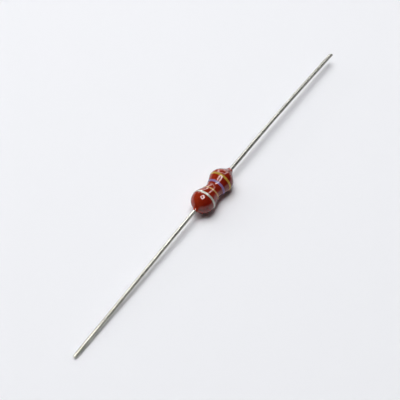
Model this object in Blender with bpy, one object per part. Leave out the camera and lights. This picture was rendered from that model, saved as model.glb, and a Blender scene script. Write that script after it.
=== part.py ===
"""Axial inductor: a ferrite drum core wound with enamelled copper wire, a tinned copper
lead glued into each end of the core, and a dipped epoxy coating with four colour bands.

The winding axis is X. The part lies on a table at Z = 0 with its middle over the origin,
on the two swellings of its coating, and the left lead (-X) droops until its tip touches.
"""

import math

import bmesh
import bpy
from mathutils import Matrix, Vector

MM = 0.001

# Ferrite drum core, with a blind bore in each end and one wire slot along its top
CORE_LENGTH = 5.8 * MM
FLANGE_DIAMETER = 3.18 * MM
FLANGE_THICKNESS = 1.1 * MM
CORE_WAIST_DIAMETER = 1.58 * MM
OUTER_RIM_CHAMFER = 0.24 * MM
INNER_RIM_CHAMFER = 0.12 * MM
ROOT_CHAMFER = 0.08 * MM
BORE_DEPTH = 1.3 * MM
BORE_END_GAP = 0.15 * MM
BORE_MOUTH_CHAMFER = 0.06 * MM
DRILL_POINT_ANGLE = math.radians(118)

# Enamelled winding wire
MAGNET_WIRE_DIAMETER = 0.2 * MM
TURN_GAP = 0.035 * MM
END_TURN_MARGIN = 0.06 * MM
TAIL_LIFT = 0.31 * MM
SLOT_SIDE_CLEARANCE = 0.05 * MM
TAIL_STANDOFF = 0.05 * MM
TAIL_DROP = 0.18 * MM
TAIL_BEND = 0.12 * MM

# Tinned copper leads
LEAD_DIAMETER = 0.6 * MM
LEAD_LENGTH = 29.2 * MM
BEND_SETBACK = 0.5 * MM
BEND_REACH = 0.25 * MM
BOW_RISE = 0.25 * MM
BOW_SHARE = 1.2
CUT_END_ROUNDING = 0.05 * MM
SHEAR_ANGLE = math.radians(40)

# Glue in the bores, and the winding's ends wrapped round the leads and soldered
GLUE_LAYER = 0.15 * MM
GLUE_FILLET = 0.22 * MM
GLUE_EDGE = 0.03 * MM
JOINT_CLEARANCE = 0.13 * MM
JOINT_WRAPS = 3
JOINT_TAPER = 0.08 * MM
SOLDER_SKIN = 0.05 * MM
SOLDER_RIPPLE = 0.06 * MM

# Dipped coating, whose left end runs out more finely on its lead than the right end does
COAT_WALL = 0.28 * MM
NOSE_COVER = 0.89 * MM
LEFT_END_ROUND = 2.0 * MM
RIGHT_END_ROUND = 1.15 * MM
LEFT_COLLAR_WALL = 0.06 * MM
RIGHT_COLLAR_WALL = 0.18 * MM
LEFT_COLLAR_LENGTH = 0.16 * MM
RIGHT_COLLAR_LENGTH = 0.48 * MM
COLLAR_LIP = 0.05 * MM

# Colour bands: distance of each from the middle, its width, and the paint's thickness
BANDS = {
    "silver_band": (-2.28 * MM, 0.36 * MM),
    "gold_band": (-0.69 * MM, 0.24 * MM),
    "violet_band": (0.68 * MM, 0.34 * MM),
    "yellow_band": (1.99 * MM, 0.34 * MM),
}
PAINT_THICKNESS = 0.025 * MM
PAINT_EDGE = 0.03 * MM

# The space left between pieces that touch on the real part
FIT = 0.015 * MM

# How finely round forms are divided, and the angle from which an edge shows as sharp
BODY_SEGMENTS = 36
LEAD_SEGMENTS = 12
SMALL_SEGMENTS = 20
WAIST_STEPS = 16
NOSE_STEPS = 4
FILLET_STEPS = 3
COIL_STEPS_PER_TURN = 16
CORNER_STEPS = 3
LEAD_STEPS = 10
CUT_END_STEPS = 2
SHARP_ANGLE = math.radians(35)

# Radii and stations along the axis that follow from the sizes above
CORE_HALF = CORE_LENGTH / 2
FLANGE_RADIUS = FLANGE_DIAMETER / 2
CORE_WAIST_RADIUS = CORE_WAIST_DIAMETER / 2
WINDOW_HALF = CORE_HALF - FLANGE_THICKNESS
MAGNET_RADIUS = MAGNET_WIRE_DIAMETER / 2
LEAD_RADIUS = LEAD_DIAMETER / 2
BORE_RADIUS = LEAD_RADIUS + GLUE_LAYER
LEAD_INNER_END = CORE_HALF - BORE_DEPTH + BORE_END_GAP
COIL_RADIUS = CORE_WAIST_RADIUS + 2 * FIT + MAGNET_RADIUS
COIL_HALF = WINDOW_HALF - END_TURN_MARGIN - MAGNET_RADIUS
TURNS = math.floor(2 * COIL_HALF / (MAGNET_WIRE_DIAMETER + TURN_GAP))
TAIL_RADIUS = COIL_RADIUS + TAIL_LIFT
SLOT_HALF_WIDTH = MAGNET_RADIUS + SLOT_SIDE_CLEARANCE
JOINT_RADIUS = LEAD_RADIUS + MAGNET_WIRE_DIAMETER + SOLDER_SKIN
JOINT_LENGTH = JOINT_WRAPS * MAGNET_WIRE_DIAMETER + 2 * JOINT_TAPER
JOINT_START = CORE_HALF + FIT + GLUE_FILLET + JOINT_CLEARANCE
JOINT_MIDDLE = JOINT_START + JOINT_LENGTH / 2
JOINT_END = JOINT_START + JOINT_LENGTH
CREST_AT = CORE_HALF - FLANGE_THICKNESS / 2
CREST_RADIUS = FLANGE_RADIUS + COAT_WALL
COAT_WAIST_RADIUS = COIL_RADIUS + MAGNET_RADIUS + COAT_WALL
COAT_HALF = JOINT_END + NOSE_COVER
HOLE_RADIUS = LEAD_RADIUS + FIT
HALF_SEGMENT = math.pi / BODY_SEGMENTS
AXIS_HEIGHT = (CREST_RADIUS + FIT + PAINT_THICKNESS) * math.cos(HALF_SEGMENT)


def clear_scene():
    for thing in list(bpy.data.objects):
        bpy.data.objects.remove(thing, do_unlink=True)


def srgb(code):
    channels = [int(code[i:i + 2], 16) / 255 for i in (0, 2, 4)]
    return [c / 12.92 if c <= 0.04045 else ((c + 0.055) / 1.055) ** 2.4 for c in channels]


def make_material(name, code, metallic, roughness, coat=0.0):
    material = bpy.data.materials.new(name)
    material.use_nodes = True
    shader = material.node_tree.nodes["Principled BSDF"]
    shader.inputs["Base Color"].default_value = (*srgb(code), 1.0)
    shader.inputs["Metallic"].default_value = metallic
    shader.inputs["Roughness"].default_value = roughness
    shader.inputs["Coat Weight"].default_value = coat
    return material


def add_object(name, data, material, parent):
    thing = bpy.data.objects.new(name, data)
    bpy.context.scene.collection.objects.link(thing)
    thing.parent = parent
    if material:
        data.materials.append(material)
    return thing


def add_mesh(name, bm, material, parent):
    """Close the bmesh into a named object, shaded smooth with its real edges sharp."""
    bmesh.ops.recalc_face_normals(bm, faces=bm.faces)
    mesh = bpy.data.meshes.new(name)
    bm.to_mesh(mesh)
    bm.free()
    mesh.shade_smooth()
    mesh.set_sharp_from_angle(angle=SHARP_ANGLE)
    return add_object(name, mesh, material, parent)


def turn(outline, segments, closed=True):
    """Spin an outline of (x, radius) points round the X axis.

    The outline stands half a segment off straight down, so that a flat of the turned
    form, and not an edge, faces the table.
    """
    bm = bmesh.new()
    lean = math.pi / segments
    verts = [bm.verts.new((x, r * math.sin(lean), -r * math.cos(lean))) for x, r in outline]
    ends = list(zip(verts, verts[1:]))
    if closed:
        ends.append((verts[-1], verts[0]))
    edges = [bm.edges.new(pair) for pair in ends]
    bmesh.ops.spin(
        bm, geom=verts + edges, cent=(0, 0, 0), axis=(1, 0, 0), angle=2 * math.pi,
        steps=segments, use_merge=True, use_duplicate=False,
    )
    return bm


def mirrored(points):
    """The same outline points on the other side of the middle, in reverse order."""
    return [(-x, r) for x, r in reversed(points)]


def rounded(points, reach):
    """Replace each inner corner of a path by a short curve that starts `reach` before it."""
    path = [points[0]]
    for before, corner, after in zip(points, points[1:], points[2:]):
        start = corner + (before - corner).normalized() * reach
        end = corner + (after - corner).normalized() * reach
        for step in range(CORNER_STEPS + 1):
            t = step / CORNER_STEPS
            path.append(start.lerp(corner, t).lerp(corner.lerp(end, t), t))
    path.append(points[-1])
    return path


def make_drum_core(material, parent):
    half = [
        (CORE_HALF - BORE_DEPTH, BORE_RADIUS),
        (CORE_HALF - BORE_MOUTH_CHAMFER, BORE_RADIUS),
        (CORE_HALF, BORE_RADIUS + BORE_MOUTH_CHAMFER),
        (CORE_HALF, FLANGE_RADIUS - OUTER_RIM_CHAMFER),
        (CORE_HALF - OUTER_RIM_CHAMFER, FLANGE_RADIUS),
        (WINDOW_HALF + INNER_RIM_CHAMFER, FLANGE_RADIUS),
        (WINDOW_HALF, FLANGE_RADIUS - INNER_RIM_CHAMFER),
        (WINDOW_HALF, CORE_WAIST_RADIUS + ROOT_CHAMFER),
        (WINDOW_HALF - ROOT_CHAMFER, CORE_WAIST_RADIUS),
    ]
    bm = turn(half + mirrored(half), BODY_SEGMENTS, closed=False)
    rims = [edge for edge in bm.edges if edge.is_boundary]
    bottoms = bmesh.ops.holes_fill(bm, edges=rims, sides=0)["faces"]
    # Each bore ends in the cone that the drill's point leaves
    tips = bmesh.ops.poke(bm, faces=bottoms)["verts"]
    point_depth = BORE_RADIUS / math.tan(DRILL_POINT_ANGLE / 2)
    for tip in tips:
        tip.co.x -= math.copysign(point_depth, tip.co.x)
    core = add_mesh("drum_core", bm, material, parent)

    slot = core.modifiers.new("wire_slot", "BOOLEAN")
    slot.operation = "DIFFERENCE"
    slot.solver = "EXACT"
    slot.object = make_slot_cutter(parent)
    return core


def make_slot_cutter(parent):
    """One U-shaped groove through the tops of both flanges, round the wire's tails."""
    bm = bmesh.new()
    steps = 2 * CORNER_STEPS
    outline = [Vector((-CORE_LENGTH, -SLOT_HALF_WIDTH, FLANGE_DIAMETER))]
    for step in range(steps + 1):
        angle = math.pi * (1 + step / steps)
        y = SLOT_HALF_WIDTH * math.cos(angle)
        z = TAIL_RADIUS + SLOT_HALF_WIDTH * math.sin(angle)
        outline.append(Vector((-CORE_LENGTH, y, z)))
    outline.append(Vector((-CORE_LENGTH, SLOT_HALF_WIDTH, FLANGE_DIAMETER)))
    face = bm.faces.new([bm.verts.new(point) for point in outline])
    moved = bmesh.ops.extrude_face_region(bm, geom=[face])["geom"]
    far_side = [item for item in moved if isinstance(item, bmesh.types.BMVert)]
    bmesh.ops.translate(bm, verts=far_side, vec=(2 * CORE_LENGTH, 0, 0))
    cutter = add_mesh("wire_slot_cutter", bm, None, parent)
    cutter.hide_render = True
    cutter.display_type = "WIRE"
    return cutter


def tail_path():
    """The right end of the winding wire: off the coil, through the slot, to the joint."""
    face_clear = CORE_HALF + TAIL_STANDOFF + MAGNET_RADIUS
    joint_clear = JOINT_RADIUS + FIT
    return [
        Vector((COIL_HALF, 0, TAIL_RADIUS)),
        Vector((face_clear, 0, TAIL_RADIUS)),
        Vector((JOINT_MIDDLE, 0, joint_clear + TAIL_DROP)),
        Vector((JOINT_MIDDLE, 0, joint_clear)),
    ]


def coil_path():
    """The turns on the waist, which the wire joins and leaves along a tangent."""
    off_tangent = math.acos(COIL_RADIUS / TAIL_RADIUS)
    first = math.pi / 2 + off_tangent
    last = math.pi / 2 + 2 * math.pi * TURNS - off_tangent
    steps = COIL_STEPS_PER_TURN * TURNS
    path = []
    for step in range(steps + 1):
        angle = first + (last - first) * step / steps
        share = (angle - math.pi / 2) / (2 * math.pi * TURNS)
        x = COIL_HALF * (2 * share - 1)
        y = COIL_RADIUS * math.cos(angle)
        z = COIL_RADIUS * math.sin(angle)
        path.append(Vector((x, y, z)))
    return path


def make_winding(material, parent):
    """One wire from joint to joint: a tail, the helix on the core's waist, a tail."""
    right = tail_path()
    left = [Vector((-p.x, p.y, p.z)) for p in reversed(right)]
    coil = coil_path()
    start = rounded(left + coil[:1], TAIL_BEND)[:-1]
    finish = rounded(coil[-1:] + right, TAIL_BEND)[1:]
    path = start + coil + finish

    curve = bpy.data.curves.new("winding", "CURVE")
    curve.dimensions = "3D"
    curve.bevel_depth = MAGNET_RADIUS
    curve.bevel_resolution = 1
    curve.use_fill_caps = True
    spline = curve.splines.new("POLY")
    spline.points.add(len(path) - 1)
    for point, place in zip(spline.points, path):
        point.co = (*place, 1)
    return add_object("winding", curve, material, parent)


def sweep(path, radius, segments):
    """A round wire along a path, open at its far end, whose last edge ring is returned."""
    bm = bmesh.new()
    frames = []
    for before, here, after in zip([path[0]] + path, path, path[1:] + [path[-1]]):
        heading = (after - before).to_track_quat("Z", "Y").to_matrix().to_4x4()
        frames.append(Matrix.Translation(here) @ heading)
    bmesh.ops.create_circle(
        bm, cap_ends=True, segments=segments, radius=radius, matrix=frames[0]
    )
    rim = list(bm.edges)
    for near, far in zip(frames, frames[1:]):
        grown = bmesh.ops.extrude_edge_only(bm, edges=rim)["geom"]
        rim = [item for item in grown if isinstance(item, bmesh.types.BMEdge)]
        verts = [item for item in grown if isinstance(item, bmesh.types.BMVert)]
        rim = [edge for edge in rim if all(vert in verts for vert in edge.verts)]
        bmesh.ops.transform(bm, matrix=far @ near.inverted(), verts=verts)
    return bm, rim


def make_left_lead(material, parent):
    """Straight out of the core, then bent down so that its cut tip rests on the table."""
    straight_end = -(COAT_HALF + BEND_SETBACK)
    tip = -(COAT_HALF + LEAD_LENGTH)
    path = rounded([
        Vector((-LEAD_INNER_END, 0, 0)),
        Vector((straight_end, 0, 0)),
        Vector((tip, 0, LEAD_RADIUS - AXIS_HEIGHT)),
    ], BEND_REACH)
    bm, rim = sweep(path, LEAD_RADIUS, LEAD_SEGMENTS)
    bmesh.ops.holes_fill(bm, edges=rim, sides=0)
    bmesh.ops.bevel(
        bm, geom=rim, offset=CUT_END_ROUNDING, segments=CUT_END_STEPS, profile=0.5,
        affect="EDGES", material=-1,
    )
    return add_mesh("left_lead", bm, material, parent)


def make_right_lead(material, parent):
    """Bowed a little upward, and sheared off aslant by the cutter."""
    path = [Vector((LEAD_INNER_END, 0, 0))]
    for step in range(LEAD_STEPS + 1):
        along = (LEAD_LENGTH + LEAD_DIAMETER) * step / LEAD_STEPS
        lift = BOW_RISE * math.sin(math.pi * BOW_SHARE * along / LEAD_LENGTH)
        path.append(Vector((COAT_HALF + along, 0, lift)))
    bm, rim = sweep(path, LEAD_RADIUS, LEAD_SEGMENTS)
    bmesh.ops.holes_fill(bm, edges=rim, sides=0)
    # The slanting cut leaves the -Y side longer, and that side reaches the full length
    cut_middle = COAT_HALF + LEAD_LENGTH - LEAD_RADIUS * math.tan(SHEAR_ANGLE)
    cut_normal = (math.cos(SHEAR_ANGLE), math.sin(SHEAR_ANGLE), 0)
    everything = list(bm.verts) + list(bm.edges) + list(bm.faces)
    bmesh.ops.bisect_plane(
        bm, geom=everything, plane_co=(cut_middle, 0, 0), plane_no=cut_normal,
        clear_outer=True,
    )
    rim = [edge for edge in bm.edges if edge.is_boundary]
    bmesh.ops.holes_fill(bm, edges=rim, sides=0)
    return add_mesh("right_lead", bm, material, parent)


def make_adhesive(name, side, material, parent):
    """The glue round a lead in its bore, with the fillet that it forms at the mouth."""
    inner = LEAD_RADIUS + FIT
    outer = BORE_RADIUS - FIT
    face = CORE_HALF + FIT
    fillet_top = BORE_RADIUS + GLUE_FILLET
    outline = [(LEAD_INNER_END, inner), (face + GLUE_FILLET, inner)]
    for step in range(FILLET_STEPS + 1):
        angle = math.pi / 2 * step / FILLET_STEPS
        x = face + GLUE_FILLET * (1 - math.sin(angle))
        r = fillet_top - (fillet_top - inner - GLUE_EDGE) * math.cos(angle)
        outline.append((x, r))
    outline += [
        (face, outer + BORE_MOUTH_CHAMFER),
        (face - BORE_MOUTH_CHAMFER, outer),
        (LEAD_INNER_END, outer),
    ]
    bm = turn([(side * x, r) for x, r in outline], SMALL_SEGMENTS)
    return add_mesh(name, bm, material, parent)


def make_solder_joint(name, side, material, parent):
    """A sleeve of solder, rippled by the wraps of winding wire that it covers."""
    inner = LEAD_RADIUS + FIT
    outline = [(JOINT_START, inner), (JOINT_START, inner + SOLDER_SKIN)]
    for wrap in range(JOINT_WRAPS):
        start = JOINT_START + JOINT_TAPER + wrap * MAGNET_WIRE_DIAMETER
        outline.append((start, JOINT_RADIUS - SOLDER_RIPPLE))
        outline.append((start + MAGNET_RADIUS, JOINT_RADIUS))
    outline.append((JOINT_END - JOINT_TAPER, JOINT_RADIUS - SOLDER_RIPPLE))
    outline.append((JOINT_END, inner + SOLDER_SKIN))
    outline.append((JOINT_END, inner))
    bm = turn([(side * x, r) for x, r in outline], SMALL_SEGMENTS)
    return add_mesh(name, bm, material, parent)


def coat_radius(x):
    """Outer radius of the coating between its crests, and on the round just past them."""
    distance = abs(x)
    if distance <= CREST_AT:
        swell = (1 - math.cos(math.pi * distance / CREST_AT)) / 2
        return COAT_WAIST_RADIUS + (CREST_RADIUS - COAT_WAIST_RADIUS) * swell
    end_round = LEFT_END_ROUND if x < 0 else RIGHT_END_ROUND
    past = min(distance - CREST_AT, end_round)
    return CREST_RADIUS - end_round + math.sqrt(end_round ** 2 - past ** 2)


def nose_outline(end_round, collar_wall, collar_length):
    """From just past the crest, round and then straight down to a collar on the lead."""
    collar_radius = LEAD_RADIUS + collar_wall
    collar_start = COAT_HALF - collar_length
    centre_radius = CREST_RADIUS - end_round
    across = collar_start - CREST_AT
    down = collar_radius - centre_radius
    # The straight flank leaves the round along the tangent that meets the collar
    tangent = math.atan2(down, across) + math.acos(end_round / math.hypot(across, down))
    outline = []
    for step in range(1, NOSE_STEPS + 1):
        angle = math.pi / 2 + (tangent - math.pi / 2) * step / NOSE_STEPS
        x = CREST_AT + end_round * math.cos(angle)
        outline.append((x, centre_radius + end_round * math.sin(angle)))
    outline.append((collar_start, collar_radius))
    outline.append((COAT_HALF - COLLAR_LIP, collar_radius - COLLAR_LIP / 2))
    outline.append((COAT_HALF, HOLE_RADIUS + (collar_wall - FIT) / 2))
    return outline


def cavity_outline():
    """Inside of the coating's right half, from the lead hole in to the middle."""
    tail_clear = MAGNET_RADIUS + 2 * FIT
    tail_reach = CORE_HALF + TAIL_STANDOFF + MAGNET_WIRE_DIAMETER
    riser = COIL_HALF - MAGNET_WIRE_DIAMETER
    return [
        (COAT_HALF, HOLE_RADIUS),
        (JOINT_END + FIT, HOLE_RADIUS),
        (JOINT_END + FIT, JOINT_RADIUS + FIT),
        (JOINT_MIDDLE + tail_clear, JOINT_RADIUS + TAIL_DROP + FIT),
        (tail_reach, TAIL_RADIUS + tail_clear),
        (CORE_HALF + FIT, FLANGE_RADIUS - OUTER_RIM_CHAMFER),
        (CORE_HALF + FIT - OUTER_RIM_CHAMFER, FLANGE_RADIUS + FIT),
        (WINDOW_HALF - FIT + INNER_RIM_CHAMFER, FLANGE_RADIUS + FIT),
        (WINDOW_HALF - FIT, FLANGE_RADIUS - INNER_RIM_CHAMFER),
        (WINDOW_HALF - FIT, TAIL_RADIUS + tail_clear),
        (riser, TAIL_RADIUS + tail_clear),
        (riser - MAGNET_WIRE_DIAMETER, COIL_RADIUS + tail_clear),
    ]


def make_coating(material, parent):
    """The dipped epoxy: a turned shell over everything but the leads' free lengths."""
    outer = mirrored(nose_outline(LEFT_END_ROUND, LEFT_COLLAR_WALL, LEFT_COLLAR_LENGTH))
    for step in range(WAIST_STEPS + 1):
        x = CREST_AT * (2 * step / WAIST_STEPS - 1)
        outer.append((x, coat_radius(x)))
    outer += nose_outline(RIGHT_END_ROUND, RIGHT_COLLAR_WALL, RIGHT_COLLAR_LENGTH)
    inside = cavity_outline()
    bm = turn(outer + inside + mirrored(inside), BODY_SEGMENTS)
    return add_mesh("epoxy_coating", bm, material, parent)


def make_band(name, middle, width, material, parent):
    """A thin ring of paint that follows the coating's curve, with softened edges."""
    left = middle - width / 2
    right = middle + width / 2
    under = [(x, coat_radius(x) + FIT) for x in (left, middle, right)]
    over = []
    for x in (right - PAINT_EDGE, middle, left + PAINT_EDGE):
        over.append((x, coat_radius(x) + FIT + PAINT_THICKNESS))
    return add_mesh(name, turn(under + over, BODY_SEGMENTS), material, parent)


def build():
    clear_scene()
    axis = add_object("winding_axis", None, None, None)
    axis.location.z = AXIS_HEIGHT

    ferrite = make_material("sintered_ferrite", "3C3A3A", 0.0, 0.6)
    enamel = make_material("enamelled_copper", "B5602A", 0.9, 0.3)
    tinned = make_material("tinned_copper", "CFCDC2", 1.0, 0.28)
    solder = make_material("solder", "B8BABC", 1.0, 0.35)
    glue = make_material("epoxy_glue", "C9B68A", 0.0, 0.35)
    resin = make_material("red_brown_epoxy", "8A2A14", 0.0, 0.12, coat=1.0)
    paints = {
        "silver_band": make_material("silver_paint", "C4CBC4", 0.3, 0.4),
        "gold_band": make_material("gold_paint", "BE9A62", 0.3, 0.4),
        "violet_band": make_material("violet_paint", "7B62A8", 0.0, 0.35),
        "yellow_band": make_material("yellow_paint", "A8862E", 0.0, 0.35),
    }

    make_drum_core(ferrite, axis)
    make_winding(enamel, axis)
    make_left_lead(tinned, axis)
    make_right_lead(tinned, axis)
    for side, word in ((-1, "left"), (1, "right")):
        make_adhesive(word + "_adhesive", side, glue, axis)
        make_solder_joint(word + "_solder_joint", side, solder, axis)
    make_coating(resin, axis)
    for name, (middle, width) in BANDS.items():
        make_band(name, middle, width, paints[name], axis)


build()
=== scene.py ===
# %% [markdown]
# An axial inductor is a ferrite drum wound with a little copper wire. A wire lead is glued into
# each end, and the whole is dipped in red-brown epoxy and ringed with painted colour bands.
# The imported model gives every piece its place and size. This script builds the visible skin
# over it in finer meshes, gives each piece its real finish, and sets up the light and camera.

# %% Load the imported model
import math

import bmesh
import bpy
from mathutils import Matrix, Vector, noise


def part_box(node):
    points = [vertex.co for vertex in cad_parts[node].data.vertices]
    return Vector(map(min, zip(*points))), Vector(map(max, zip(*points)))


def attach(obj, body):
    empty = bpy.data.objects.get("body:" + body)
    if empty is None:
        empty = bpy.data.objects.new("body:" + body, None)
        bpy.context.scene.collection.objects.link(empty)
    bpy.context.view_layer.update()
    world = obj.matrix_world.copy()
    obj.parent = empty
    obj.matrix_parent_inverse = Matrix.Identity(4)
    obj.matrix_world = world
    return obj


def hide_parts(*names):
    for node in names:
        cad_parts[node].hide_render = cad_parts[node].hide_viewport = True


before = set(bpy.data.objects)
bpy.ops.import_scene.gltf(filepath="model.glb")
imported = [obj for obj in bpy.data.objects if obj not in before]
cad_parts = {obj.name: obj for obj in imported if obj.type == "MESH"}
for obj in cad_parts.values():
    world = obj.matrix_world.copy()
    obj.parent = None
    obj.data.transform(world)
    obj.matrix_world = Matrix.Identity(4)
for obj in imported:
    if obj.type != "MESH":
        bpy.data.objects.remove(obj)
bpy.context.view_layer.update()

# %% [markdown]
# Everything is round about one line, the winding axis, which runs along X at the height of
# the coating's middle. Its height and the coating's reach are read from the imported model, so
# that the finer pieces sit just where the solids are. The rest are real sizes in millimetres.

# %% The axis and the coating's main sizes
MM = 0.001
coat_low, coat_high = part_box("epoxy_coating")
AXIS_HEIGHT = (coat_low.z + coat_high.z) / 2
COAT_HALF = coat_high.x
CREST_RADIUS = (coat_high.z - coat_low.z) / 2
CREST_AT = 2.35 * MM
WAIST_RADIUS = 1.3 * MM
LEAD_RADIUS = 0.3 * MM
print(f"axis {AXIS_HEIGHT / MM:.3f} mm up, coating {2 * COAT_HALF / MM:.2f} mm long")

# %% [markdown]
# Three small helpers do the repeated work. A hex colour is what a colour picker shows, in
# sRGB, while Blender's sockets take linear light, so one function turns the one into the
# other. One adds a shader node with its settings and links. One turns a finished bmesh into
# a smooth-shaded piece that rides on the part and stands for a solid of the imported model.


# %% Helpers for colours, shader nodes and pieces
def linear(code):
    """An sRGB hex colour as the linear RGBA that shader sockets take."""
    channels = [int(code[i:i + 2], 16) / 255 for i in (0, 2, 4)]
    return (*[c / 12.92 if c <= 0.04045 else ((c + 0.055) / 1.055) ** 2.4 for c in channels], 1.0)


def add_node(owner, kind, inputs=None, **settings):
    """Add a node; an input is a value, or an output socket to link from."""
    tree = owner.node_tree
    node = tree.nodes.new(kind)
    for name, value in settings.items():
        setattr(node, name, value)
    for name, value in (inputs or {}).items():
        if isinstance(value, bpy.types.NodeSocket):
            tree.links.new(value, node.inputs[name])
        else:
            node.inputs[name].default_value = value
    return node


def start_material(name, colour, **sockets):
    """A new material and its Principled shader, with the sockets that are the same all over."""
    material = bpy.data.materials.new(name)
    material.use_nodes = True
    shader = material.node_tree.nodes["Principled BSDF"]
    shader.inputs["Base Color"].default_value = linear(colour)
    for socket, value in sockets.items():
        shader.inputs[socket.replace("_", " ")].default_value = value
    return material, shader


def finish_piece(name, bm, material, node, sharp=40):
    """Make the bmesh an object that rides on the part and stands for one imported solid."""
    bmesh.ops.recalc_face_normals(bm, faces=bm.faces)
    mesh = bpy.data.meshes.new(name)
    bm.to_mesh(mesh)
    bm.free()
    mesh.shade_smooth()
    mesh.set_sharp_from_angle(angle=math.radians(sharp))
    mesh.materials.append(material)
    piece = bpy.data.objects.new(name, mesh)
    bpy.context.scene.collection.objects.link(piece)
    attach(piece, "root")
    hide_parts(node)
    print(f"{name}: {len(mesh.polygons)} faces")
    return piece


# %% [markdown]
# The camera looks down on the part from the side of its left lead, which comes towards the
# viewer. A long lens from 23 cm keeps the two ends almost the same size, as in a close-up
# product photograph. The position is given by two angles and a distance, and the point that
# the camera is aimed at puts the body a little off the middle of the picture.

# %% Camera
CAMERA_AZIMUTH = math.radians(-56.27)
CAMERA_ELEVATION = math.radians(50.29)
CAMERA_DISTANCE = 230 * MM
FOCAL_PIXELS = 1556
PICTURE_PIXELS = 400
SENSOR = 36
BODY_PIXEL = (212.4, 190.2)
BODY_MIDDLE_HEIGHT = 2 * MM

flat_reach = math.cos(CAMERA_ELEVATION)
back = Vector((
    math.sin(CAMERA_AZIMUTH) * flat_reach,
    -math.cos(CAMERA_AZIMUTH) * flat_reach,
    math.sin(CAMERA_ELEVATION),
))
body_middle = Vector((0, 0, BODY_MIDDLE_HEIGHT))
camera = bpy.data.objects.new("camera", bpy.data.cameras.new("camera"))
bpy.context.scene.collection.objects.link(camera)
camera.data.sensor_width = SENSOR
camera.data.lens = SENSOR * FOCAL_PIXELS / PICTURE_PIXELS
camera.data.clip_start = 10 * MM
camera.data.clip_end = 10
camera.location = body_middle + back * CAMERA_DISTANCE
# Turning the camera by these two small angles moves the body from the middle to its pixel
pan = math.atan((BODY_PIXEL[0] - PICTURE_PIXELS / 2) / FOCAL_PIXELS)
tilt = math.atan((PICTURE_PIXELS / 2 - BODY_PIXEL[1]) / FOCAL_PIXELS)
straight = (-back).to_track_quat("-Z", "Y").to_matrix().to_4x4()
turned = straight @ Matrix.Rotation(pan, 4, "Y") @ Matrix.Rotation(-tilt, 4, "X")
camera.rotation_euler = turned.to_euler()
bpy.context.scene.camera = camera
print(f"lens {camera.data.lens:.1f} mm at {CAMERA_DISTANCE / MM:.0f} mm")

# %% [markdown]
# The coating is what shows most. Liquid epoxy clings to the drum's two flanges and draws in
# between them, so its outline is a smooth wave: a waist, a crest over each flange, then a
# round shoulder and a straight flank down to the lead. At the left lead it thins out to a fine
# edge, and at the right lead it stopped in a short thick collar. A wave and two arcs are
# easy to write as formulas of the distance along the axis. A hand-placed row of points would
# leave small flats, which a glossy skin shows at once as breaks in its highlights.

# %% The coating's outline
END_ROUNDS = {-1: 2.0 * MM, 1: 1.62 * MM}
FLANK_ENDS = {-1: Vector((4.38, 0.38)) * MM, 1: Vector((4.38, 0.64)) * MM}
FLANK_BLENDS = {-1: 0.3 * MM, 1: 0.25 * MM}
LIPS = {-1: Vector((4.72, 0.34)) * MM, 1: Vector((4.84, 0.42)) * MM}
LIP_ROUNDS = {-1: 0.02 * MM, 1: 0.08 * MM}
OUTLINE_STEP = 0.05 * MM


def coat_radius(x):
    """Outer radius of the coating from shoulder to shoulder."""
    past = abs(x) - CREST_AT
    if past <= 0:
        swell = (1 - math.cos(math.pi * x / CREST_AT)) / 2
        return WAIST_RADIUS + (CREST_RADIUS - WAIST_RADIUS) * swell
    end_round = END_ROUNDS[-1 if x < 0 else 1]
    return CREST_RADIUS - end_round + math.sqrt(end_round ** 2 - min(past, end_round) ** 2)


def curve_through(before, corner, after, reach, steps=7):
    """Points of a short curve that cuts the corner between two straight lines."""
    start = corner + (before - corner).normalized() * reach
    end = corner + (after - corner).normalized() * reach
    shares = [step / steps for step in range(steps + 1)]
    return [start.lerp(corner, t).lerp(corner.lerp(end, t), t) for t in shares]


def end_outline(side):
    """From just past the crest to the coating's very end, as (distance, radius) points."""
    end_round = END_ROUNDS[side]
    flank_end = FLANK_ENDS[side]
    centre = Vector((CREST_AT, CREST_RADIUS - end_round))
    to_end = flank_end - centre
    # The flank leaves the round shoulder along the tangent through the flank's end
    tangent = math.atan2(to_end.y, to_end.x) + math.acos(end_round / to_end.length)
    steps = math.ceil(end_round * (math.pi / 2 - tangent) / OUTLINE_STEP)
    points = []
    for step in range(1, steps + 1):
        angle = math.pi / 2 + (tangent - math.pi / 2) * step / steps
        points.append(centre + end_round * Vector((math.cos(angle), math.sin(angle))))
    lip = LIPS[side]
    hole = Vector((lip.x, LEAD_RADIUS))
    points += curve_through(points[-1], flank_end, lip, FLANK_BLENDS[side])
    points += curve_through(flank_end, lip, hole, LIP_ROUNDS[side])
    return [(side * point.x, point.y) for point in points]


steps = math.ceil(2 * CREST_AT / OUTLINE_STEP)
crest_to_crest = [CREST_AT * (2 * step / steps - 1) for step in range(steps + 1)]
coat_outline = end_outline(-1)[::-1]
coat_outline += [(x, coat_radius(x)) for x in crest_to_crest]
coat_outline += end_outline(1)
print(len(coat_outline), "points from end to end")

# %% [markdown]
# The skin is not perfectly even. The part is dried lying down, so the resin sagged to one side
# in the waist, and a slow noise moves each point of the skin in or out by a few thousandths of a
# millimetre. The bands use the same function, so they stay seated on the skin. A vertex layer
# tells the skin from the hollow inside the shell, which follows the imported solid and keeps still.

# %% The coating as a turned shell
SKIN_SEGMENTS = 240
UNEVEN = 0.006 * MM
UNEVEN_LENGTH = 1.5 * MM
WAIST_SLUMP = 0.1 * MM
HOLE_RADIUS = 0.315 * MM
HOLLOW = [
    (4.04, 0.315), (4.04, 0.565), (3.775, 0.745), (3.15, 1.36), (2.915, 1.36), (2.675, 1.605),
    (1.905, 1.605), (1.785, 1.47), (1.785, 1.36), (1.44, 1.36), (1.24, 1.05),
]


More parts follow.
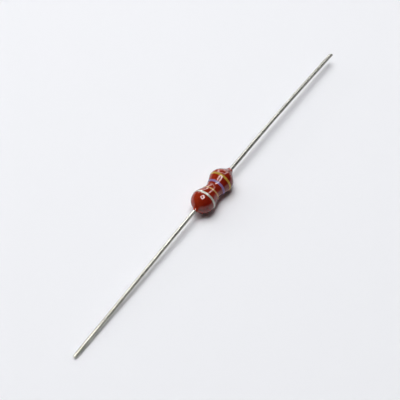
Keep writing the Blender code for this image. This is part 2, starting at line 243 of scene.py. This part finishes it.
def spin_outline(skin, hollow, segments):
    """Turn a closed loop of (x, radius) points round the winding axis."""
    bm = bmesh.new()
    on_skin = bm.verts.layers.float.new("on_skin")
    verts = [bm.verts.new((x, 0, -r)) for x, r in skin + hollow]
    for vert in verts[:len(skin)]:
        vert[on_skin] = 1.0
    edges = [bm.edges.new(pair) for pair in zip(verts, verts[1:] + verts[:1])]
    bmesh.ops.spin(
        bm, geom=verts + edges, cent=(0, 0, 0), axis=(1, 0, 0), angle=2 * math.pi,
        steps=segments, use_merge=True, use_duplicate=False,
    )
    return bm


def sag_and_lift(bm):
    """Make the skin uneven, then lift the ring from the X axis to the winding axis."""
    on_skin = bm.verts.layers.float["on_skin"]
    for vert in bm.verts:
        x, y, z = vert.co
        radius = math.hypot(y, z)
        spot = Vector((x, y / radius * MM, z / radius * MM)) / UNEVEN_LENGTH
        grown = 1 + vert[on_skin] * UNEVEN * noise.noise(spot) / radius
        waist_share = (1 + math.cos(math.pi * min(abs(x) / CREST_AT, 1))) / 2
        slump = vert[on_skin] * WAIST_SLUMP * waist_share
        vert.co = (x, y * grown - slump, z * grown + AXIS_HEIGHT)


right_hollow = [(LIPS[1].x, HOLE_RADIUS)] + [(x * MM, r * MM) for x, r in HOLLOW]
left_hollow = [(-x * MM, r * MM) for x, r in reversed(HOLLOW)] + [(-LIPS[-1].x, HOLE_RADIUS)]
coat_bm = spin_outline(coat_outline, right_hollow + left_hollow, SKIN_SEGMENTS)
sag_and_lift(coat_bm)

# %% [markdown]
# Epoxy coating: a thick resin full of fine red-brown pigment, dipped and cured, so it dries to a
# wet-looking gloss. The base has no gloss of its own, and a clear coat on top gives the one sharp
# reflection. The base colour is painted paler on the +Y side and deeper on the -Y side: painted
# light and shade for the light that falls from the +Y side. A slow noise stands for unevenly
# settled pigment.

# %% Red-brown epoxy
resin, shader = start_material(
    "dipped_red_brown_epoxy", "811F0B", Roughness=0.5, IOR=1.55, Specular_IOR_Level=0.0,
    Coat_Weight=1.0, Coat_Roughness=0.01, Coat_IOR=1.5,
)
place = add_node(resin, "ShaderNodeTexCoord").outputs["Object"]
cloud = add_node(resin, "ShaderNodeTexNoise", {
    "Vector": place, "Scale": 1 / (1.2 * MM), "Detail": 3.0,
})
# Painted light and shade: the colour is paler on the +Y side, where the light comes from, and
# deeper on the -Y side
across = add_node(resin, "ShaderNodeSeparateXYZ", {"Vector": place})
painted_side_shade = add_node(resin, "ShaderNodeMapRange", {
    "Value": across.outputs["Y"], "From Min": -CREST_RADIUS, "From Max": CREST_RADIUS,
})
share = add_node(resin, "ShaderNodeMix", {
    "Factor": 0.25, "A": painted_side_shade.outputs["Result"], "B": cloud.outputs["Fac"],
})
# The ramp turns the painted light and shade, with a little pigment noise, into the base colour
tone_with_painted_light = add_node(resin, "ShaderNodeValToRGB", {"Fac": share.outputs["Result"]})
tone_with_painted_light.color_ramp.elements[0].position = 0.2
tone_with_painted_light.color_ramp.elements[0].color = linear("741205")
tone_with_painted_light.color_ramp.elements[1].position = 0.75
tone_with_painted_light.color_ramp.elements[1].color = linear("9A2F13")
resin.node_tree.links.new(tone_with_painted_light.outputs["Color"], shader.inputs["Base Color"])

finish_piece("coating", coat_bm, resin, "epoxy_coating", sharp=60)

# %% [markdown]
# A coding machine presses each band on with a small wheel, so the paint stands a little proud
# and its edges waver. Each band is a ring that follows the skin, with rounded edges. Slow
# noise round the ring moves both edges along the axis. The silver band carries the most paint,
# and the part rests on it.

# %% Painted bands
BANDS = {
    "silver_band": {"middle": -2.2, "width": 0.36, "paint": 0.028, "waver": 0.05},
    "gold_band": {"middle": -0.69, "width": 0.28, "paint": 0.016, "waver": 0.04},
    "violet_band": {"middle": 0.77, "width": 0.34, "paint": 0.02, "waver": 0.03},
    "yellow_band": {"middle": 1.99, "width": 0.34, "paint": 0.02, "waver": 0.03},
}
BAND_SEGMENTS = 240
BAND_LIFT = 0.004 * MM
EDGE_NOISE_SCALE = 2.2
EDGE_NOISE_APART = 3
BAND_CAP = {
    -1.0: 0, -0.9: 0.7, -0.75: 0.97, -0.4: 1, 0.0: 1,
    0.4: 1, 0.75: 0.97, 0.9: 0.7, 1.0: 0,
}


def band_outline(middle, width, paint):
    """Cross-section of a band: just above the skin below, flat with rounded edges above."""
    under = [(middle + width / 2 * share, BAND_LIFT) for share in BAND_CAP]
    over = [
        (middle + width / 2 * share, paint * height + BAND_LIFT * 2)
        for share, height in reversed(BAND_CAP.items())
    ]
    return [(x, coat_radius(x) + lift) for x, lift in under + over]


def waver_edges(bm, middle, width, waver, seed):
    """Push the ring's two edges along the axis by a noise that runs round the ring."""
    for vert in bm.verts:
        x, y, z = vert.co
        radius = math.hypot(y, z)
        edge = (x - middle) / (width / 2)
        spot = Vector((
            y / radius * EDGE_NOISE_SCALE + seed,
            z / radius * EDGE_NOISE_SCALE,
            math.copysign(EDGE_NOISE_APART, edge),
        ))
        moved = x + waver * noise.noise(spot) * edge ** 2
        lift = radius - coat_radius(x)
        scale = (coat_radius(moved) + lift) / radius
        vert.co = (moved, y * scale, z * scale)


def make_band(name, material, seed):
    size = {key: value * MM for key, value in BANDS[name].items()}
    outline = band_outline(size["middle"], size["width"], size["paint"])
    bm = spin_outline(outline, [], BAND_SEGMENTS)
    waver_edges(bm, size["middle"], size["width"], size["waver"], seed)
    sag_and_lift(bm)
    return finish_piece(name + "_paint", bm, material, name, sharp=60)


# %% [markdown]
# Band paints: thick pigmented lacquer under the same wet gloss as the resin, so the
# lamps' reflections run on across them. The silver and gold ones hold fine metal flake, which
# a part-metallic shader with a fine noise in its roughness stands for.

# %% Paint finishes
PAINTS = {
    "silver_band": ("silver_flake_lacquer", "BDC0B5", 0.25, "silver_paint"),
    "gold_band": ("gold_flake_lacquer", "B98F60", 0.35, "gold_paint"),
    "violet_band": ("violet_lacquer", "836D9C", 0.0, "violet_paint"),
    "yellow_band": ("yellow_lacquer", "B08C3A", 0.0, "yellow_paint"),
}
FLAKE_LENGTH = 0.04 * MM

for seed, (name, (title, colour, metal, slot)) in enumerate(PAINTS.items()):
    paint, shader = start_material(
        title, colour, Metallic=metal, Specular_IOR_Level=0.0, Coat_Weight=0.8,
        Coat_Roughness=0.02,
    )
    place = add_node(paint, "ShaderNodeTexCoord").outputs["Object"]
    flake = add_node(paint, "ShaderNodeTexNoise", {"Vector": place, "Scale": 1 / FLAKE_LENGTH})
    rough = add_node(paint, "ShaderNodeMapRange", {
        "Value": flake.outputs["Fac"], "To Min": 0.3, "To Max": 0.5,
    })
    paint.node_tree.links.new(rough.outputs["Result"], shader.inputs["Roughness"])
    make_band(name, paint, seed)

# %% [markdown]
# The leads are drawn copper wire, dipped in tin. Each one is a circle swept along its own
# line: the left one droops from the body to the table, the right one is bowed slightly upwards.
# The circle has 48 sides for a clean line of light along the wire.

# %% Lead paths
LEAD_SEGMENTS = 48
LEAD_RINGS = 160
left_low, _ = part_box("left_lead")
_, right_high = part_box("right_lead")
BEND_AT = COAT_HALF + 0.5 * MM
BEND_REACH = 0.25 * MM
BOW_RISE = 0.25 * MM
BOW_SHARE = 1.2
SHEAR_ANGLE = math.radians(40)
TIP_DROOP_SETBACK = 0.016 * MM
LEFT_TIP = -left_low.x - TIP_DROOP_SETBACK
RIGHT_TIP = right_high.x
FREE_LENGTH = RIGHT_TIP - COAT_HALF
LEAD_START = 1.85 * MM
HEADING_STEP = 0.01 * MM


def left_line(distance):
    """Middle of the left lead at a distance from the part's middle."""
    droop = (AXIS_HEIGHT - LEAD_RADIUS) / (LEFT_TIP - BEND_AT)
    past = distance - BEND_AT
    if past <= -BEND_REACH:
        fall = 0
    elif past >= BEND_REACH:
        fall = droop * past
    else:
        fall = droop * (past + BEND_REACH) ** 2 / (4 * BEND_REACH)
    return Vector((-distance, 0, AXIS_HEIGHT - fall))


def right_line(distance):
    """Middle of the right lead at a distance from the part's middle."""
    past = max(0, distance - COAT_HALF)
    rise = BOW_RISE * math.sin(math.pi * BOW_SHARE * past / FREE_LENGTH)
    return Vector((distance, 0, AXIS_HEIGHT + rise))


def sweep_wire(line, start, end, rings):
    """A closed round wire along a line, as rings of vertices joined by extrusion."""
    distances = [start + (end - start) * ring / rings for ring in range(rings + 1)]
    frames = []
    for distance in distances:
        ahead = line(distance + HEADING_STEP) - line(distance - HEADING_STEP)
        heading = ahead.normalized().to_track_quat("Z", "Y").to_matrix().to_4x4()
        frames.append(Matrix.Translation(line(distance)) @ heading)
    bm = bmesh.new()
    bmesh.ops.create_circle(
        bm, cap_ends=True, segments=LEAD_SEGMENTS, radius=LEAD_RADIUS, matrix=frames[0],
    )
    rim = list(bm.edges)
    for near, far in zip(frames, frames[1:]):
        grown = bmesh.ops.extrude_edge_only(bm, edges=rim)["geom"]
        verts = [item for item in grown if isinstance(item, bmesh.types.BMVert)]
        known = set(verts)
        edges = [item for item in grown if isinstance(item, bmesh.types.BMEdge)]
        rim = [edge for edge in edges if known.issuperset(edge.verts)]
        bmesh.ops.transform(bm, matrix=far @ near.inverted(), verts=verts)
    bmesh.ops.holes_fill(bm, edges=rim, sides=0)
    return bm, rim


# %% [markdown]
# Tinned copper: tin from a hot bath sets as a bright, slightly soft mirror. Drawing leaves fine
# scratches and low ridges along the wire, so both noises are stretched along X and the line of
# light wanders a little. Handling dulls the tin in patches, which a noise gives. The left lead is
# painted lighter and the right one darker, a painted reflection and shade for how differently the
# two leads catch the light. This step is mixed with the patch noise to give the colour.

# %% Tinned copper
tinned, shader = start_material(
    "hot_dipped_tinned_copper", "B6B5AF", Metallic=1.0, Roughness=0.5,
)
place = add_node(tinned, "ShaderNodeTexCoord").outputs["Object"]
stretched = add_node(tinned, "ShaderNodeMapping", {
    "Vector": place, "Scale": (0.08, 1.0, 1.0),
})
scratch = add_node(tinned, "ShaderNodeTexNoise", {
    "Vector": stretched.outputs["Vector"], "Scale": 1 / (0.05 * MM), "Detail": 2.0,
})
rough = add_node(tinned, "ShaderNodeMapRange", {
    "Value": scratch.outputs["Fac"], "To Min": 0.2, "To Max": 0.34,
})
# Painted reflection and shade: the left lead's colour is lighter, the right one's darker
along = add_node(tinned, "ShaderNodeSeparateXYZ", {"Vector": place})
painted_lead_reflection = add_node(tinned, "ShaderNodeMapRange", {
    "Value": along.outputs["X"], "From Min": COAT_HALF, "From Max": -COAT_HALF,
})
patch = add_node(tinned, "ShaderNodeTexNoise", {"Vector": place, "Scale": 1 / (1.5 * MM)})
# The painted step from lead to lead is mixed with the real patches of dulled tin
share = add_node(tinned, "ShaderNodeMix", {
    "Factor": 0.3, "A": painted_lead_reflection.outputs["Result"], "B": patch.outputs["Fac"],
})
tone_with_painted_light = add_node(tinned, "ShaderNodeValToRGB", {"Fac": share.outputs["Result"]})
tone_with_painted_light.color_ramp.elements[0].position = 0.1
tone_with_painted_light.color_ramp.elements[0].color = linear("A09E98")
tone_with_painted_light.color_ramp.elements[1].position = 0.9
tone_with_painted_light.color_ramp.elements[1].color = linear("CAC8BF")
drawn = add_node(tinned, "ShaderNodeMapping", {"Vector": place, "Scale": (0.05, 1.0, 1.0)})
ridges = add_node(tinned, "ShaderNodeTexNoise", {
    "Vector": drawn.outputs["Vector"], "Scale": 1 / (0.25 * MM), "Detail": 1.0,
})
wavy = add_node(tinned, "ShaderNodeBump", {
    "Height": ridges.outputs["Fac"], "Strength": 1.0, "Distance": 0.02 * MM,
})
grain = add_node(tinned, "ShaderNodeBump", {
    "Height": scratch.outputs["Fac"], "Strength": 0.1, "Distance": 0.002 * MM,
    "Normal": wavy.outputs["Normal"],
})
tinned.node_tree.links.new(rough.outputs["Result"], shader.inputs["Roughness"])
tinned.node_tree.links.new(tone_with_painted_light.outputs["Color"], shader.inputs["Base Color"])
tinned.node_tree.links.new(grain.outputs["Normal"], shader.inputs["Normal"])

# %% [markdown]
# The left lead was cut first, and tumbling with other parts wore its end round. The rim of
# the end face is bevelled in four steps, which is enough for a smooth dome at this size.

# %% Left lead, with a rounded cut end
CUT_ROUNDING = 0.07 * MM
left_bm, left_rim = sweep_wire(left_line, LEAD_START, LEFT_TIP, LEAD_RINGS)
bmesh.ops.bevel(
    left_bm, geom=left_rim, offset=CUT_ROUNDING, segments=4, profile=0.5,
    affect="EDGES", material=-1,
)
finish_piece("left_lead_wire", left_bm, tinned, "left_lead", sharp=50)

# %% [markdown]
# The right lead was nipped off with side cutters, which leave a slanted face. The wire is made
# a little too long, cut by one slanted plane, closed again, and its new rim lightly bevelled.

# %% Right lead, sheared off aslant
SHEAR_BEVEL = 0.02 * MM
right_bm, _ = sweep_wire(right_line, LEAD_START, RIGHT_TIP + 2 * LEAD_RADIUS, LEAD_RINGS)
bmesh.ops.bisect_plane(
    right_bm, geom=right_bm.verts[:] + right_bm.edges[:] + right_bm.faces[:],
    plane_co=(RIGHT_TIP - LEAD_RADIUS * math.tan(SHEAR_ANGLE), 0, 0),
    plane_no=(math.cos(SHEAR_ANGLE), math.sin(SHEAR_ANGLE), 0), clear_outer=True,
)
cut_edges = [edge for edge in right_bm.edges if edge.is_boundary]
bmesh.ops.holes_fill(right_bm, edges=cut_edges, sides=0)
bmesh.ops.bevel(
    right_bm, geom=cut_edges, offset=SHEAR_BEVEL, segments=2, profile=0.5,
    affect="EDGES", material=-1,
)
finish_piece("right_lead_wire", right_bm, tinned, "right_lead", sharp=50)

# %% [markdown]
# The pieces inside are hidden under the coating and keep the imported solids' shapes. Each
# still gets the finish of the real thing, so that the model is true when it is opened up.

# %% Finishes of the hidden pieces
INNER = {
    "drum_core": ("sintered_ferrite", "3B3938", 0.0, 0.65, 0.12),
    "winding": ("enamelled_copper_wire", "B4622E", 0.9, 0.25, 0.5),
    "left_adhesive": ("cured_epoxy_glue", "C9B68A", 0.0, 0.3, 0.4),
    "right_adhesive": ("cured_epoxy_glue", "C9B68A", 0.0, 0.3, 0.4),
    "left_solder_joint": ("tin_solder", "BFC0C0", 1.0, 0.3, 0.3),
    "right_solder_joint": ("tin_solder", "BFC0C0", 1.0, 0.3, 0.3),
}
for node, (title, colour, metal, rough_middle, grain_size) in INNER.items():
    material = bpy.data.materials.get(title)
    if material is None:
        material, shader = start_material(title, colour, Metallic=metal)
        place = add_node(material, "ShaderNodeTexCoord").outputs["Object"]
        grain = add_node(material, "ShaderNodeTexNoise", {
            "Vector": place, "Scale": 1 / (grain_size * MM), "Detail": 3.0,
        })
        rough = add_node(material, "ShaderNodeMapRange", {
            "Value": grain.outputs["Fac"],
            "To Min": rough_middle - 0.1, "To Max": rough_middle + 0.1,
        })
        material.node_tree.links.new(rough.outputs["Result"], shader.inputs["Roughness"])
    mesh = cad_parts[node].data
    mesh.materials.clear()
    mesh.materials.append(material)

# %% [markdown]
# The floor is a big sheet of pale paper, and the picture shows nothing else. It takes the
# soft shadows, and the glossy skin and the wire mirror it from below.

# %% Pale paper floor
FLOOR_HALF = 600 * MM
paper, shader = start_material(
    "pale_matt_paper", "F1F2F6", Roughness=0.9, Specular_IOR_Level=0.1,
)
bm = bmesh.new()
bmesh.ops.create_grid(bm, x_segments=1, y_segments=1, size=FLOOR_HALF)
mesh = bpy.data.meshes.new("floor")
bm.to_mesh(mesh)
bm.free()
mesh.materials.append(paper)
floor = bpy.data.objects.new("floor", mesh)
bpy.context.scene.collection.objects.link(floor)

# %% [markdown]
# A wet-looking gloss mirrors the lamps themselves, while the paint, the resin's colour and the
# paper only take their light, so the two jobs are split. Two square rings of narrow strips,
# one overhead and one low behind the part, show in the gloss as bright outlines with a dark
# middle. Each has a second set of brighter strips a little nearer, seen by glossy rays alone,
# like the diodes in a real ring lamp. The soft panels above do most of the lighting and show
# in no reflection. One more panel low behind shows only in gloss, as the wire's bright line.
# The room itself is dark, so the rest of the skin keeps its deep colour.

# %% Lamps
LAMP_DISTANCE = 600 * MM
SPARKLE_NEARER = 0.02
ROOM_LIGHT = 0.03


def add_strip(name, place, turn, size_x, size_y, radiance, only_gloss):
    """A rectangular soft lamp, whose power is its radiance times pi times its area."""
    data = bpy.data.lights.new(name, "AREA")
    data.shape = "RECTANGLE"
    data.size = size_x
    data.size_y = size_y
    data.energy = radiance * math.pi * size_x * size_y
    lamp = bpy.data.objects.new(name, data)
    lamp.location = place
    lamp.rotation_euler = turn.to_euler()
    lamp.visible_diffuse = not only_gloss
    bpy.context.scene.collection.objects.link(lamp)
    return lamp


def add_ring(name, heading, half, hole_half, radiance, sparkle):
    """Four strips in a square round a heading, all facing the body; sizes are tangents."""
    middle = body_middle + heading.normalized() * LAMP_DISTANCE
    turn = heading.to_track_quat("Z", "Y").to_matrix()
    outer = half * LAMP_DISTANCE
    hole = hole_half * LAMP_DISTANCE
    width = outer - hole
    offset = (outer + hole) / 2
    strips = [
        (Vector((0, offset, 0)), 2 * outer, width),
        (Vector((0, -offset, 0)), 2 * outer, width),
        (Vector((offset, 0, 0)), width, 2 * hole),
        (Vector((-offset, 0, 0)), width, 2 * hole),
    ]
    for shift, size_x, size_y in strips:
        place = middle + turn @ shift
        add_strip(name, place, turn, size_x, size_y, radiance, False)
        nearer = place.lerp(body_middle, SPARKLE_NEARER)
        add_strip(name + "_sparkle", nearer, turn, size_x, size_y, sparkle, True)


def add_panel(name, heading, half_x, half_y, radiance, only_gloss=False):
    """A soft panel facing the body, which lights either its diffuse or its glossy side."""
    turn = heading.to_track_quat("Z", "Y").to_matrix()
    place = body_middle + heading.normalized() * LAMP_DISTANCE
    size_x = 2 * half_x * LAMP_DISTANCE
    size_y = 2 * half_y * LAMP_DISTANCE
    panel = add_strip(name, place, turn, size_x, size_y, radiance, only_gloss)
    panel.visible_glossy = only_gloss


add_ring("overhead_ring", Vector((-0.1, 0.05, 1)), 0.25, 0.19, radiance=2.7, sparkle=34.0)
add_ring("back_ring", Vector((0.8, 0.32, 0.5)), 0.5, 0.38, radiance=0.8, sparkle=5.5)
add_panel("small_panel", Vector((0.08, -0.03, 1)), 0.1, 0.1, radiance=9.0)
add_panel("middle_panel", Vector((0.08, 0.16, 1)), 0.29, 0.29, radiance=4.0)
add_panel("ceiling_panel", Vector((0.1, 0.4, 1)), 0.5, 0.5, radiance=1.35)
add_panel("far_panel", Vector((-0.1, 0.9, 0.42)), 0.33, 0.16, radiance=2.0)
add_panel(
    "wire_panel", Vector((0.5, 0.75, 0.42)), 0.22, 0.12, radiance=3.0, only_gloss=True,
)

world = bpy.data.worlds.new("dark_room")
world.use_nodes = True
room = world.node_tree.nodes["Background"]
room.inputs["Color"].default_value = linear("FFFFFF")
room.inputs["Strength"].default_value = ROOM_LIGHT
bpy.context.scene.world = world

bpy.context.scene.view_settings.view_transform = "Standard"
